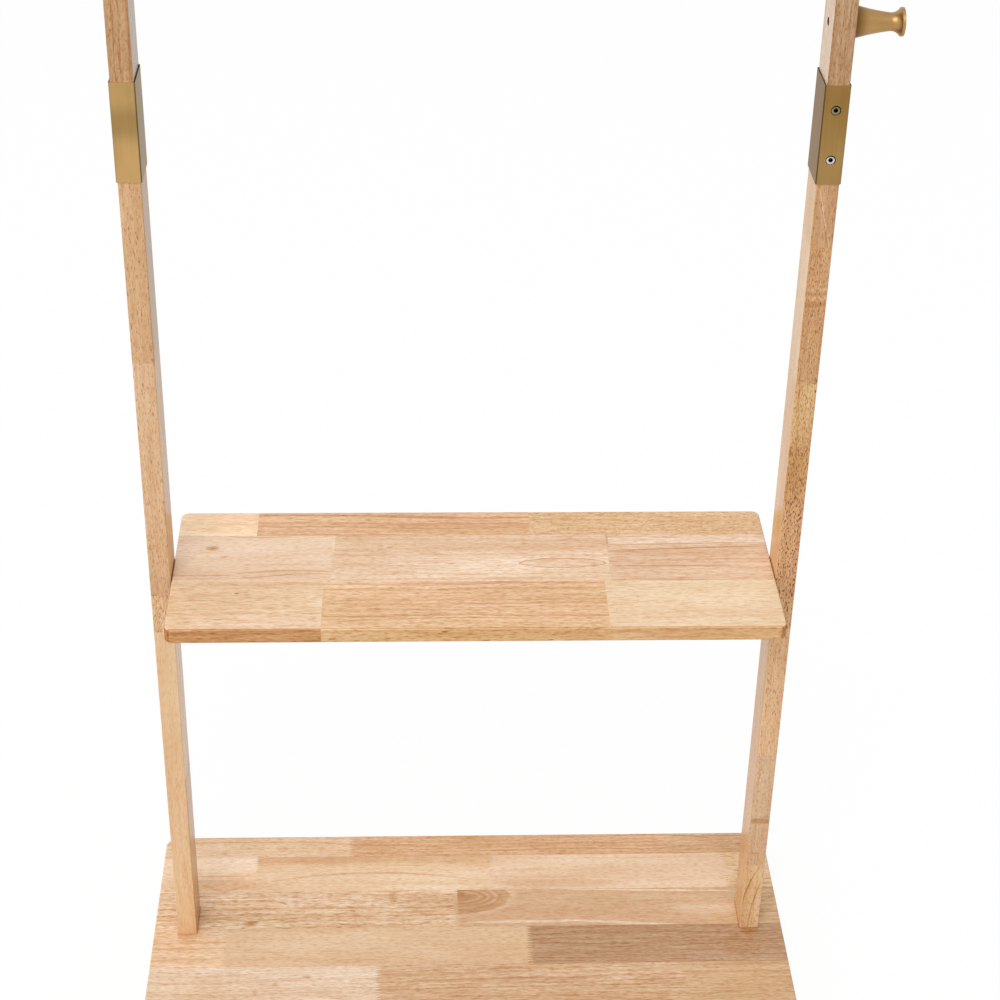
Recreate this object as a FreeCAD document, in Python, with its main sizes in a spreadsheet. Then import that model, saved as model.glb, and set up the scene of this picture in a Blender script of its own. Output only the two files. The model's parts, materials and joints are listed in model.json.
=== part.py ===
import FreeCAD, Part
import math
import operator
import os
from types import SimpleNamespace

import Sketcher

# A wooden clothes rack. Two deep uprights stand on a base board and carry a shelf, a clothes rail and a
# coat hook. Each upright is a lower and an upper batten that meet inside a thin rectangular sleeve.
# Millimetres, +Z up, +X to the right, -Y to the front. The origin is on the floor, midway between the
# uprights. The left upright is the right one turned half round, so its sleeve screws are at the back.

SIZES = {
    # Boards
    "base_overhang": 30.5,
    "base_depth": 340,
    "base_back": 160,
    "base_thickness": 18,
    "base_corner": 16,
    "shelf_depth": 242,
    "shelf_thickness": 18,
    "shelf_corner": 9,
    "shelf_height": 541,
    "shelf_end_gap": 0.3,
    "board_edge": 1.8,
    # Uprights
    "rack_span": 741,
    "upright_width": 24,
    "upright_depth": 50,
    "upright_edge": 1.5,
    "lower_length": 1086,
    "upper_length": 586,
    # Sleeves and their screws
    "sleeve_height": 107.5,
    "sleeve_wall": 0.9,
    "sleeve_side_gap": 0.5,
    "sleeve_face_gap": 0.2,
    "sleeve_corner": 2,
    "sleeve_screw_rise": 27,
    "screw_recess": 0.8,
    "cup_gap": 0.3,
    # Socket screws and threaded inserts
    "head_radius": 5,
    "head_height": 3,
    "head_chamfer": 0.5,
    "head_recess": 0.5,
    "head_gap": 0.4,
    "key_width": 4,
    "key_depth": 2.2,
    "thread_radius": 3,
    "thread_reach": 16,
    "tip_chamfer": 0.8,
    "hole_gap": 0.3,
    "fit_gap": 0.1,
    "bore_relief": 1,
    "insert_radius": 4.5,
    "insert_length": 15,
    "bolt_spread": 26,
    # Dowels
    "dowel_radius": 4,
    "dowel_chamfer": 0.8,
    "dowel_short": 12,
    "dowel_long": 18,
    # Clothes rail
    "rail_radius": 12.5,
    "rail_wall": 1.5,
    "rail_drop": 50,
    "rail_end_gap": 0.3,
    "plug_length": 20,
    # Coat hook
    "hook_rise": 111.5,
    "hook_root_radius": 17,
    "hook_root_rim": 1.5,
    "hook_flank_radius": 220,
    "hook_neck_radius": 9.3,
    "hook_neck_reach": 38,
    "hook_throat_radius": 11,
    "hook_tip_radius": 14.5,
    "hook_tip_rim": 3,
    "hook_crown": 1.5,
    "hook_bore_radius": 4.5,
    "hook_bore_depth": 8,
    "hook_screw_radius": 2.5,
    "hook_screw_head_radius": 4.1,
    "hook_screw_head_height": 4,
    "hook_screw_reach": 14,
    # Feet
    "foot_radius": 15,
    "foot_taper": 2,
    "foot_height": 10,
    "foot_inset": 45,
    "foot_seat": 5,
    "foot_screw_radius": 2,
    "foot_screw_head_radius": 4,
    "foot_screw_head_height": 2.5,
    "foot_screw_reach": 12,
}

SIDES = {"left": -1, "right": 1}
UP = FreeCAD.Vector(0, 0, 1)
NEAR = 0.01
CALCULATIONS = {"+": operator.add, "-": operator.sub, "*": operator.mul, "/": operator.truediv}


# Lengths that know their formula


class Length:
    """A length with its value and the sheet formula that gives it."""

    def __init__(self, value, formula):
        self.value = value
        self.formula = formula

    def __add__(self, other):
        return combine(self, "+", other)

    def __sub__(self, other):
        return combine(self, "-", other)

    def __mul__(self, other):
        return combine(self, "*", other)

    def __truediv__(self, other):
        return combine(self, "/", other)

    def __neg__(self):
        return combine(self, "*", -1)


def as_length(thing):
    if isinstance(thing, Length):
        return thing
    return Length(thing, str(thing))


def combine(left, sign, right):
    left = as_length(left)
    right = as_length(right)
    value = CALCULATIONS[sign](left.value, right.value)
    return Length(value, f"({left.formula} {sign} {right.formula})")


def fill_sheet(doc):
    """Write the driving sizes into the sheet and return them as lengths."""
    sheet = doc.addObject("Spreadsheet::Sheet", "sizes")
    lengths = {}
    for row, (name, value) in enumerate(SIZES.items(), 1):
        sheet.set(f"A{row}", name)
        sheet.set(f"B{row}", str(value))
        sheet.setAlias(f"B{row}", name)
        lengths[name] = Length(value, f"sizes.{name}")
    doc.recompute()
    return SimpleNamespace(**lengths)


document = FreeCAD.newDocument("clothes_rack")
size = fill_sheet(document)
nodes = []


def bind(thing, name, length):
    thing.setExpression(name, as_length(length).formula)


# Sketches


def new_body(name):
    body = document.addObject("PartDesign::Body", name)
    body.Label = name
    return body


def new_sketch(body, role, at=(0, 0, 0)):
    """A sketch on one of the body's own planes, shifted within and off that plane."""
    sketch = body.newObject("Sketcher::SketchObject", body.Name + "_sketch")
    plane = next(item for item in body.Origin.OriginFeatures if item.Role == role)
    sketch.AttachmentSupport = [(plane, "")]
    sketch.MapMode = "FlatFace"
    for axis, length in zip("xyz", at):
        bind(sketch, "AttachmentOffset.Base." + axis, length)
    return sketch


def dimension(sketch, kind, where, length):
    index = sketch.addConstraint(Sketcher.Constraint(kind, *where, length.value))
    name = f"size_{index}"
    sketch.renameConstraint(index, name)
    bind(sketch, "Constraints." + name, length)


def constrain(sketch, kind, *where):
    sketch.addConstraint(Sketcher.Constraint(kind, *where))


def closed_lines(sketch, points):
    """Straight lines from point to point and back to the first; returns their indices."""
    lines = []
    for start, end in zip(points, points[1:] + points[:1]):
        lines.append(sketch.addGeometry(Part.LineSegment(start, end)))
    for line, following in zip(lines, lines[1:] + lines[:1]):
        constrain(sketch, "Coincident", line, 2, following, 1)
    return lines


def add_rectangle(sketch, width, depth):
    x = width.value / 2
    y = depth.value / 2
    corners = [(-x, -y), (x, -y), (x, y), (-x, y)]
    front, right, back, left = closed_lines(sketch, [FreeCAD.Vector(*corner) for corner in corners])
    for line in (front, back):
        constrain(sketch, "Horizontal", line)
    for line in (right, left):
        constrain(sketch, "Vertical", line)
    constrain(sketch, "Symmetric", front, 1, right, 2, -1, 1)
    dimension(sketch, "DistanceX", (front, 1, front, 2), width)
    dimension(sketch, "DistanceY", (right, 1, right, 2), depth)


def add_circle(sketch, radius):
    circle = sketch.addGeometry(Part.Circle(FreeCAD.Vector(), UP, radius.value))
    constrain(sketch, "Coincident", circle, 3, -1, 1)
    dimension(sketch, "Radius", (circle,), radius)
    return circle


def add_hexagon(sketch, across_flats):
    radius = across_flats / math.sqrt(3)
    circle = add_circle(sketch, radius)
    sketch.toggleConstruction(circle)
    corners = []
    for step in range(6):
        angle = math.radians(60 * step)
        corners.append(FreeCAD.Vector(math.cos(angle), math.sin(angle)) * radius.value)
    lines = closed_lines(sketch, corners)
    for line in lines:
        constrain(sketch, "PointOnObject", line, 1, circle)
    for line in lines[1:]:
        constrain(sketch, "Equal", lines[0], line)
    constrain(sketch, "Horizontal", lines[1])


def fix_point(sketch, where, point):
    """Hold a sketch point at its two lengths from the origin; a zero puts it on that axis."""
    across, along = (as_length(length) for length in point)
    if across.value == 0 and along.value == 0:
        constrain(sketch, "Coincident", *where, -1, 1)
        return
    if across.value == 0:
        constrain(sketch, "PointOnObject", *where, -2)
    else:
        dimension(sketch, "DistanceX", (-1, 1, *where), across)
    if along.value == 0:
        constrain(sketch, "PointOnObject", *where, -1)
    else:
        dimension(sketch, "DistanceY", (-1, 1, *where), along)


def add_outline(sketch, points):
    vectors = []
    for point in points:
        vectors.append(FreeCAD.Vector(*(as_length(length).value for length in point)))
    for line, point in zip(closed_lines(sketch, vectors), points):
        fix_point(sketch, (line, 1), point)


# Features


def pad(body, sketch, length, towards_back=False):
    feature = body.newObject("PartDesign::Pad", body.Name + "_pad")
    feature.Profile = sketch
    feature.Reversed = towards_back
    bind(feature, "Length", length)
    return feature


def revolve(body, sketch):
    feature = body.newObject("PartDesign::Revolution", body.Name + "_turn")
    feature.Profile = sketch
    feature.ReferenceAxis = (sketch, ["V_Axis"])
    feature.Angle = 360
    return feature


def cut(body, direction, at, depth, draw, *measures):
    """A pocket that starts at a point of the body and runs along +X, -X, +Y, -Y, +Z or -Z."""
    x, y, z = (as_length(length) for length in at)
    role, offset = {
        "X": ("YZ_Plane", (y, z, x)),
        "Y": ("XZ_Plane", (x, z, -y)),
        "Z": ("XY_Plane", (x, y, z)),
    }[direction[1]]
    sketch = new_sketch(body, role, offset)
    draw(sketch, *measures)
    feature = body.newObject("PartDesign::Pocket", body.Name + "_cut")
    feature.Profile = sketch
    feature.Reversed = direction in ("+X", "-Y", "+Z")
    bind(feature, "Length", depth)
    return feature


def bore(body, direction, at, radius, depth):
    return cut(body, direction, at, depth, add_circle, radius)


def round_edges(body, base, radius, wanted):
    document.recompute()
    names = []
    for number, edge in enumerate(base.Shape.Edges, 1):
        if wanted(edge):
            names.append(f"Edge{number}")
    feature = body.newObject("PartDesign::Fillet", body.Name + "_round")
    feature.Base = (base, names)
    bind(feature, "Radius", radius)
    return feature


def is_upright(edge):
    box = edge.BoundBox
    return box.XLength < NEAR and box.YLength < NEAR


def is_level(edge):
    return edge.BoundBox.ZLength < NEAR


def place(body, at, direction=UP, turn=0):
    """Put a body at a point, with its own +Z along direction, or turned about +Z by degrees."""
    rotation = FreeCAD.Rotation(UP, turn) * FreeCAD.Rotation(UP, direction)
    base = FreeCAD.Vector(*(as_length(length).value for length in at))
    body.Placement = FreeCAD.Placement(base, rotation)
    for axis, length in zip("xyz", at):
        bind(body, "Placement.Base." + axis, length)


def keep(part):
    nodes.append(part)
    return part


def keep_group(name, bodies):
    group = document.addObject("Part::Compound", name)
    group.Label = name
    group.Links = bodies
    return keep(group)


# Shared levels and distances

base_top = size.foot_height + size.base_thickness
joint_level = base_top + size.lower_length
shelf_bottom = base_top + size.shelf_height - size.shelf_thickness
shelf_middle = shelf_bottom + size.shelf_thickness / 2
rail_level = joint_level + size.upper_length - size.rail_drop
hook_level = joint_level + size.hook_rise
upright_place = (size.rack_span - size.upright_width) / 2
inner_face = size.rack_span / 2 - size.upright_width
half_width = size.upright_width / 2
half_depth = size.upright_depth / 2
base_width = size.rack_span + size.base_overhang * 2
base_middle = size.base_back - size.base_depth / 2
bolt_places = (-size.bolt_spread / 2, size.bolt_spread / 2)

head_seat = size.head_recess + size.head_height
head_hole = size.head_radius + size.head_gap
bolt_hole = size.thread_radius + size.hole_gap
insert_hole = size.insert_radius + size.fit_gap
insert_hole_depth = size.thread_reach + size.bore_relief
dowel_hole = size.dowel_radius + size.fit_gap

sleeve_front = half_depth + size.sleeve_face_gap + size.sleeve_wall
cup_radius = size.head_radius + size.cup_gap
cup_floor = size.screw_recess + size.head_height
cup_hole_depth = cup_floor - size.sleeve_face_gap + size.cup_gap


# Turned pieces


def turned(name, outline):
    body = new_body(name)
    sketch = new_sketch(body, "XZ_Plane")
    add_outline(sketch, outline)
    revolve(body, sketch)
    return body


def socket_screw(name, reach, thread=size.thread_radius, head=size.head_radius, height=size.head_height):
    """A screw whose head's face is at its origin and whose thread ends reach past the head."""
    end = height + reach
    body = turned(
        name,
        [
            (0, 0),
            (head - size.head_chamfer, 0),
            (head, size.head_chamfer),
            (head, height),
            (thread, height),
            (thread, end - size.tip_chamfer),
            (thread - size.tip_chamfer, end),
            (0, end),
        ],
    )
    cut(body, "+Z", (0, 0, 0), size.key_depth, add_hexagon, size.key_width)
    return body


def ring(name, inner, outer, length):
    return turned(name, [(inner, 0), (outer, 0), (outer, length), (inner, length)])


def threaded_insert(name):
    return ring(name, size.thread_radius + size.fit_gap, size.insert_radius, size.insert_length)


def dowel(name):
    """A dowel that starts with its short half, whose end is at the origin."""
    length = size.dowel_short + size.dowel_long
    narrow = size.dowel_radius - size.dowel_chamfer
    return turned(
        name,
        [
            (0, 0),
            (narrow, 0),
            (size.dowel_radius, size.dowel_chamfer),
            (size.dowel_radius, length - size.dowel_chamfer),
            (narrow, length),
            (0, length),
        ],
    )


# Boards


def board(name, width, depth, thickness, corner):
    body = new_body(name)
    sketch = new_sketch(body, "XY_Plane")
    add_rectangle(sketch, width, depth)
    plate = pad(body, sketch, thickness)
    rounded = round_edges(body, plate, corner, is_upright)
    round_edges(body, rounded, size.board_edge, is_level)
    return keep(body)


def base_board():
    body = board("base_board", base_width, size.base_depth, size.base_thickness, size.base_corner)
    for sign in SIDES.values():
        x = upright_place * sign
        for shift in bolt_places:
            at = (x, shift - base_middle, 0)
            bore(body, "+Z", at, bolt_hole, size.base_thickness)
            bore(body, "+Z", at, head_hole, head_seat)
        at = (x, -base_middle, size.base_thickness)
        bore(body, "-Z", at, dowel_hole, size.dowel_short + size.bore_relief)
    for x, y in foot_places():
        depth = size.foot_screw_reach + size.bore_relief
        bore(body, "+Z", (x, y - base_middle, 0), size.foot_screw_radius + size.fit_gap, depth)
    place(body, (0, base_middle, size.foot_height))


def shelf_board():
    width = (inner_face - size.shelf_end_gap) * 2
    body = board("shelf_board", width, size.shelf_depth, size.shelf_thickness, size.shelf_corner)
    middle = size.shelf_thickness / 2
    for sign in SIDES.values():
        inwards = "-X" if sign > 0 else "+X"
        for shift in bolt_places:
            bore(body, inwards, (width * sign / 2, shift, middle), insert_hole, insert_hole_depth)
        bore(body, inwards, (width * sign / 2, 0, middle), dowel_hole, size.dowel_long + size.bore_relief)
    place(body, (0, 0, shelf_bottom))


# Uprights, made as the right one: outer face towards +X, sleeve screws at the front


def batten(name, length, top_rounded):
    body = new_body(name)
    sketch = new_sketch(body, "XY_Plane")
    add_rectangle(sketch, size.upright_width, size.upright_depth)
    stick = pad(body, sketch, length)
    rounded = round_edges(body, stick, size.upright_edge, is_upright)
    if top_rounded:
        top = length.value - NEAR
        round_edges(body, rounded, size.upright_edge, lambda edge: edge.BoundBox.ZMin > top)
    return keep(body)


def sleeve_screw_bores(body, level):
    at = (0, -half_depth, level)
    wide = cup_radius + size.sleeve_wall + size.cup_gap
    bore(body, "+Y", at, insert_hole, cup_hole_depth + insert_hole_depth)
    bore(body, "+Y", at, wide, cup_hole_depth)


def lower_upright(side, sign):
    body = batten("lower_upright_" + side, size.lower_length, False)
    shelf_at = size.shelf_height - size.shelf_thickness / 2
    for shift in bolt_places:
        bore(body, "+Z", (0, shift, 0), insert_hole, insert_hole_depth)
        bore(body, "-X", (half_width, shift, shelf_at), bolt_hole, size.upright_width)
        bore(body, "-X", (half_width, shift, shelf_at), head_hole, head_seat)
    bore(body, "+Z", (0, 0, 0), dowel_hole, size.dowel_long + size.bore_relief)
    bore(body, "+X", (-half_width, 0, shelf_at), dowel_hole, size.dowel_short + size.bore_relief)
    sleeve_screw_bores(body, size.lower_length - size.sleeve_screw_rise)
    place(body, (upright_place * sign, 0, base_top), turn=turn_of(sign))


def upper_upright(side, sign):
    body = batten("upper_upright_" + side, size.upper_length, True)
    sleeve_screw_bores(body, size.sleeve_screw_rise)
    rail_at = (half_width, 0, size.upper_length - size.rail_drop)
    bore(body, "-X", rail_at, bolt_hole, size.upright_width)
    bore(body, "-X", rail_at, head_hole, head_seat)
    if side == "right":
        hook_at = (-half_width, 0, size.hook_rise)
        bore(body, "+X", hook_at, size.hook_screw_radius + size.hole_gap, size.upright_width)
        bore(body, "+X", hook_at, size.hook_bore_radius, size.hook_bore_depth)
    place(body, (upright_place * sign, 0, joint_level), turn=turn_of(sign))


def turn_of(sign):
    return 0 if sign > 0 else 180


# Sleeves: a rectangular tube whose front is pressed in to a cup round each screw head


def sleeve(side, sign):
    body = new_body("sleeve_" + side)
    sketch = new_sketch(body, "XY_Plane")
    inner_width = size.upright_width + size.sleeve_side_gap * 2
    inner_depth = size.upright_depth + size.sleeve_face_gap * 2
    outer_width = inner_width + size.sleeve_wall * 2
    outer_depth = inner_depth + size.sleeve_wall * 2
    add_rectangle(sketch, outer_width, outer_depth)
    add_rectangle(sketch, inner_width, inner_depth)
    tube = pad(body, sketch, size.sleeve_height)
    outside = round_edges(body, tube, size.sleeve_corner, corners_of(outer_width, outer_depth))
    inner_corner = size.sleeve_corner - size.sleeve_wall
    round_edges(body, outside, inner_corner, corners_of(inner_width, inner_depth))
    for direction in (-1, 1):
        level = size.sleeve_height / 2 + size.sleeve_screw_rise * direction
        front = (0, -sleeve_front, level)
        cup = new_sketch(body, "XZ_Plane", (0, level, sleeve_front))
        add_circle(cup, cup_radius + size.sleeve_wall)
        pad(body, cup, cup_floor + size.sleeve_wall, towards_back=True)
        bore(body, "+Y", front, cup_radius, cup_floor)
        bore(body, "+Y", front, bolt_hole, cup_floor + size.sleeve_wall)
    place(body, (upright_place * sign, 0, joint_level - size.sleeve_height / 2), turn=turn_of(sign))
    keep(body)


def corners_of(width, depth):
    """A test for the upright edges at the corners of a rectangle about the body's axis."""

    def wanted(edge):
        middle = edge.BoundBox.Center
        off_x = abs(abs(middle.x) - width.value / 2)
        off_y = abs(abs(middle.y) - depth.value / 2)
        return is_upright(edge) and max(off_x, off_y) < NEAR

    return wanted


def sleeve_fasteners(side, sign):
    inwards = FreeCAD.Vector(0, sign, 0)
    x = upright_place * sign
    reach = size.sleeve_wall + size.cup_gap + size.thread_reach
    screws = []
    inserts = []
    for direction, word in ((-1, "lower"), (1, "upper")):
        level = joint_level + size.sleeve_screw_rise * direction
        screw = socket_screw(f"sleeve_screw_{side}_{word}", reach)
        place(screw, (x, (size.screw_recess - sleeve_front) * sign, level), inwards)
        screws.append(screw)
        insert = threaded_insert(f"sleeve_insert_{side}_{word}")
        place(insert, (x, (cup_hole_depth - half_depth) * sign, level), inwards)
        inserts.append(insert)
    keep_group("sleeve_screws_" + side, screws)
    keep_group("sleeve_inserts_" + side, inserts)


# What holds the shelf between the uprights and the uprights on the base


def shelf_fasteners(side, sign):
    inwards = FreeCAD.Vector(-sign, 0, 0)
    bolts = []
    inserts = []
    for shift, word in zip(bolt_places, ("front", "back")):
        reach = size.upright_width - head_seat + size.shelf_end_gap + size.thread_reach
        bolt = socket_screw(f"shelf_bolt_{side}_{word}", reach)
        place(bolt, ((size.rack_span / 2 - size.head_recess) * sign, shift, shelf_middle), inwards)
        bolts.append(bolt)
        insert = threaded_insert(f"shelf_insert_{side}_{word}")
        place(insert, ((inner_face - size.shelf_end_gap) * sign, shift, shelf_middle), inwards)
        inserts.append(insert)
    keep_group("shelf_bolts_" + side, bolts)
    keep_group("shelf_inserts_" + side, inserts)
    pin = dowel("shelf_dowel_" + side)
    place(pin, ((inner_face + size.dowel_short) * sign, 0, shelf_middle), inwards)
    keep(pin)


def base_fasteners(side, sign):
    x = upright_place * sign
    bolts = []
    inserts = []
    for shift, word in zip(bolt_places, ("front", "back")):
        bolt = socket_screw(f"base_bolt_{side}_{word}", size.base_thickness - head_seat + size.thread_reach)
        place(bolt, (x, shift, size.foot_height + size.head_recess))
        bolts.append(bolt)
        insert = threaded_insert(f"base_insert_{side}_{word}")
        place(insert, (x, shift, base_top))
        inserts.append(insert)
    keep_group("base_bolts_" + side, bolts)
    keep_group("base_inserts_" + side, inserts)
    pin = dowel("base_dowel_" + side)
    place(pin, (x, 0, base_top - size.dowel_short))
    keep(pin)


# Clothes rail


def clothes_rail():
    length = (inner_face - size.rail_end_gap) * 2
    rail = ring("clothes_rail", size.rail_radius - size.rail_wall, size.rail_radius, length)
    place(rail, (-length / 2, 0, rail_level), FreeCAD.Vector(1, 0, 0))
    keep(rail)


def rail_end(side, sign):
    inwards = FreeCAD.Vector(-sign, 0, 0)
    plug_bore = size.thread_radius + size.fit_gap
    plug_radius = size.rail_radius - size.rail_wall - size.fit_gap
    plug = ring("rail_plug_" + side, plug_bore, plug_radius, size.plug_length)
    place(plug, ((inner_face - size.rail_end_gap) * sign, 0, rail_level), inwards)
    keep(plug)
    reach = size.upright_width - head_seat + size.rail_end_gap + size.thread_reach
    bolt = socket_screw("rail_bolt_" + side, reach)
    place(bolt, ((size.rack_span / 2 - size.head_recess) * sign, 0, rail_level), inwards)
    keep(bolt)


# Coat hook: a turned spool with a long flank, a narrow neck and a flared tip


def arc_about(centre, start, end):
    """The shorter arc from start to end round centre."""
    towards_middle = (start + end) / 2 - centre
    middle = centre + towards_middle.normalize() * (start - centre).Length
    return Part.Arc(start, middle, end)


def nearest_end(sketch, curve, point):
    """Which end of a sketch curve, 1 or 2, lies at the point."""
    gaps = [(sketch.getPoint(curve, end) - point).Length for end in (1, 2)]
    return 1 + gaps.index(min(gaps))


def hook_outline(sketch):
    """The hook's half outline, with the radius across and the distance from the upright along."""
    root = FreeCAD.Vector(size.hook_root_radius.value, 0)
    rim = root + FreeCAD.Vector(0, size.hook_root_rim.value)
    neck = FreeCAD.Vector(size.hook_neck_radius.value, size.hook_neck_reach.value)
    flank = neck - rim
    outwards = FreeCAD.Vector(flank.y, -flank.x).normalize()
    flank_radius = size.hook_flank_radius.value
    flank_centre = (rim + neck) / 2 + outwards * math.sqrt(flank_radius ** 2 - flank.Length ** 2 / 4)
    throat_radius = size.hook_throat_radius.value
    throat_centre = neck + (flank_centre - neck).normalize() * throat_radius
    tip_radius = size.hook_tip_radius.value
    throat_rise = math.sqrt(throat_radius ** 2 - (throat_centre.x - tip_radius) ** 2)
    flare = FreeCAD.Vector(tip_radius, throat_centre.y + throat_rise)
    edge = flare + FreeCAD.Vector(0, size.hook_tip_rim.value)
    crown = FreeCAD.Vector(0, edge.y + size.hook_crown.value)
    crown_radius = (tip_radius ** 2 + size.hook_crown.value ** 2) / (2 * size.hook_crown.value)
    crown_centre = crown - FreeCAD.Vector(0, crown_radius)

    face_line = sketch.addGeometry(Part.LineSegment(FreeCAD.Vector(), root))
    rim_line = sketch.addGeometry(Part.LineSegment(root, rim))
    flank_arc = sketch.addGeometry(arc_about(flank_centre, rim, neck))
    throat_arc = sketch.addGeometry(arc_about(throat_centre, neck, flare))
    edge_line = sketch.addGeometry(Part.LineSegment(flare, edge))
    crown_arc = sketch.addGeometry(arc_about(crown_centre, edge, crown))
    axis_line = sketch.addGeometry(Part.LineSegment(crown, FreeCAD.Vector()))

    flank_start = (flank_arc, nearest_end(sketch, flank_arc, rim))
    flank_end = (flank_arc, nearest_end(sketch, flank_arc, neck))
    throat_start = (throat_arc, nearest_end(sketch, throat_arc, neck))
    throat_end = (throat_arc, nearest_end(sketch, throat_arc, flare))
    crown_start = (crown_arc, nearest_end(sketch, crown_arc, edge))
    crown_end = (crown_arc, nearest_end(sketch, crown_arc, crown))

    constrain(sketch, "Coincident", face_line, 1, -1, 1)
    constrain(sketch, "Coincident", face_line, 2, rim_line, 1)
    constrain(sketch, "Coincident", rim_line, 2, *flank_start)
    constrain(sketch, "Tangent", *flank_end, *throat_start)
    constrain(sketch, "Coincident", *throat_end, edge_line, 1)
    constrain(sketch, "Coincident", edge_line, 2, *crown_start)
    constrain(sketch, "Coincident", *crown_end, axis_line, 1)
    constrain(sketch, "Coincident", axis_line, 2, -1, 1)
    constrain(sketch, "Vertical", edge_line)
    constrain(sketch, "PointOnObject", axis_line, 1, -2)
    constrain(sketch, "PointOnObject", crown_arc, 3, -2)
    fix_point(sketch, (face_line, 2), (size.hook_root_radius, 0))
    fix_point(sketch, (rim_line, 2), (size.hook_root_radius, size.hook_root_rim))
    fix_point(sketch, flank_end, (size.hook_neck_radius, size.hook_neck_reach))
    dimension(sketch, "Radius", (flank_arc,), size.hook_flank_radius)
    dimension(sketch, "Radius", (throat_arc,), size.hook_throat_radius)
    dimension(sketch, "DistanceX", (-1, 1, edge_line, 1), size.hook_tip_radius)
    dimension(sketch, "DistanceY", (edge_line, 1, edge_line, 2), size.hook_tip_rim)
    dimension(sketch, "DistanceY", (edge_line, 2, axis_line, 1), size.hook_crown)


def coat_hook():
    outwards = FreeCAD.Vector(1, 0, 0)
    body = new_body("coat_hook")
    sketch = new_sketch(body, "XZ_Plane")
    hook_outline(sketch)
    revolve(body, sketch)
    depth = size.hook_screw_reach + size.bore_relief
    bore(body, "+Z", (0, 0, 0), size.hook_screw_radius + size.fit_gap, depth)
    place(body, (size.rack_span / 2, 0, hook_level), outwards)
    keep(body)

    reach = size.upright_width - size.hook_bore_depth + size.hook_screw_reach
    head = size.hook_screw_head_radius
    height = size.hook_screw_head_height
    screw = socket_screw("hook_screw", reach, size.hook_screw_radius, head, height)
    place(screw, (inner_face + size.hook_bore_depth - height, 0, hook_level), outwards)
    keep(screw)


# Feet


def foot_places():
    x = base_width / 2 - size.foot_inset
    front = size.base_back - size.base_depth + size.foot_inset
    back = size.base_back - size.foot_inset
    return [(-x, front), (x, front), (-x, back), (x, back)]


def feet():
    names = ("front_left", "front_right", "back_left", "back_right")
    hole = size.foot_screw_radius + size.hole_gap
    recess = size.foot_screw_head_radius + size.hole_gap
    screws = []
    for name, (x, y) in zip(names, foot_places()):
        foot = turned(
            "foot_" + name,
            [
                (recess, 0),
                (size.foot_radius - size.foot_taper, 0),
                (size.foot_radius, size.foot_height),
                (hole, size.foot_height),
                (hole, size.foot_seat),
                (recess, size.foot_seat),
            ],
        )
        place(foot, (x, y, 0))
        keep(foot)
        height = size.foot_screw_head_height
        reach = size.foot_height - size.foot_seat + size.foot_screw_reach
        screw = socket_screw(
            "foot_screw_" + name, reach, size.foot_screw_radius, size.foot_screw_head_radius, height
        )
        place(screw, (x, y, size.foot_seat - height))
        screws.append(screw)
    keep_group("foot_screws", screws)


# Check every object, then write one file for each sub-part


def check_document():
    for item in document.Objects:
        if "Invalid" in item.State or "Error" in item.State:
            raise RuntimeError(f"{item.Name} failed: {item.State}")
        if item.TypeId == "PartDesign::Pocket":
            removed = item.BaseFeature.Shape.Volume - item.Shape.Volume
            if removed < 1:
                raise RuntimeError(f"{item.Name} cuts nothing")
    for part in nodes:
        if part.Shape.isNull() or not part.Shape.isValid():
            raise RuntimeError(f"{part.Label} has no valid shape")


def write_parts():
    os.makedirs("parts", exist_ok=True)
    for part in nodes:
        part.Shape.exportStep(f"parts/{part.Label}.step")
        print(part.Label, len(part.Shape.Solids), round(part.Shape.Volume))


base_board()
shelf_board()
for side, sign in SIDES.items():
    lower_upright(side, sign)
    upper_upright(side, sign)
    sleeve(side, sign)
    sleeve_fasteners(side, sign)
    shelf_fasteners(side, sign)
    base_fasteners(side, sign)
    rail_end(side, sign)
clothes_rail()
coat_hook()
feet()
document.recompute()
check_document()
write_parts()
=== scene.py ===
"""The looks of a free-standing wooden clothes rack, in metres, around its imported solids."""

import json
import math
from typing import NamedTuple

import bpy
from mathutils import Matrix, Vector


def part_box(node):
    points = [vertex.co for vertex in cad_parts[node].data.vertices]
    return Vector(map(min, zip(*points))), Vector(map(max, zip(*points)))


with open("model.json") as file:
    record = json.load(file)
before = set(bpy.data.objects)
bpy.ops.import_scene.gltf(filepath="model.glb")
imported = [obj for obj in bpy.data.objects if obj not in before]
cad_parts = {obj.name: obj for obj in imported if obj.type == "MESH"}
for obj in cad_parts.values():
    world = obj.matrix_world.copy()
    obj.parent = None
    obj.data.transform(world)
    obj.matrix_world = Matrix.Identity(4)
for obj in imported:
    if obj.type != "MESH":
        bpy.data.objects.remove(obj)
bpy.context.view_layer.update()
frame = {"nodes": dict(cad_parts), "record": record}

# The camera: where it stands, how it is turned in degrees, and its lens in millimetres.
CAMERA_PLACE = Vector((-0.0719, -2.0852, 1.9669))
CAMERA_YAW = 2.742
CAMERA_PITCH = 32.022
CAMERA_ROLL = 1.254
SENSOR_WIDTH = 36.0
LENS = 78.22

# How bright the surroundings are, and how much brighter on the left.
SURROUNDINGS = 0.74
SURROUNDINGS_LEAN = 0.55
# The floor's grey as it lights the object and as it is seen, how much of the seen floor is plain white, and
# how much of that white a glossy surface mirrors.
FLOOR_SIZE = 16.0
FLOOR_GREY = 0.66
FLOOR_SEEN_GREY = 0.98
FLOOR_WHITE = 0.94
MIRRORED_SHARE = 0.6
# The lamp, with its power in watts.
LAMP_PLACE = Vector((-1.0, -5.3, 7.0))
LAMP_AIM = Vector((0.0, 0.0, 0.5))
LAMP_SIZE = 5.0
LAMP_POWER = 280.0
WHITE = (1.0, 1.0, 1.0, 1.0)

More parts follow.
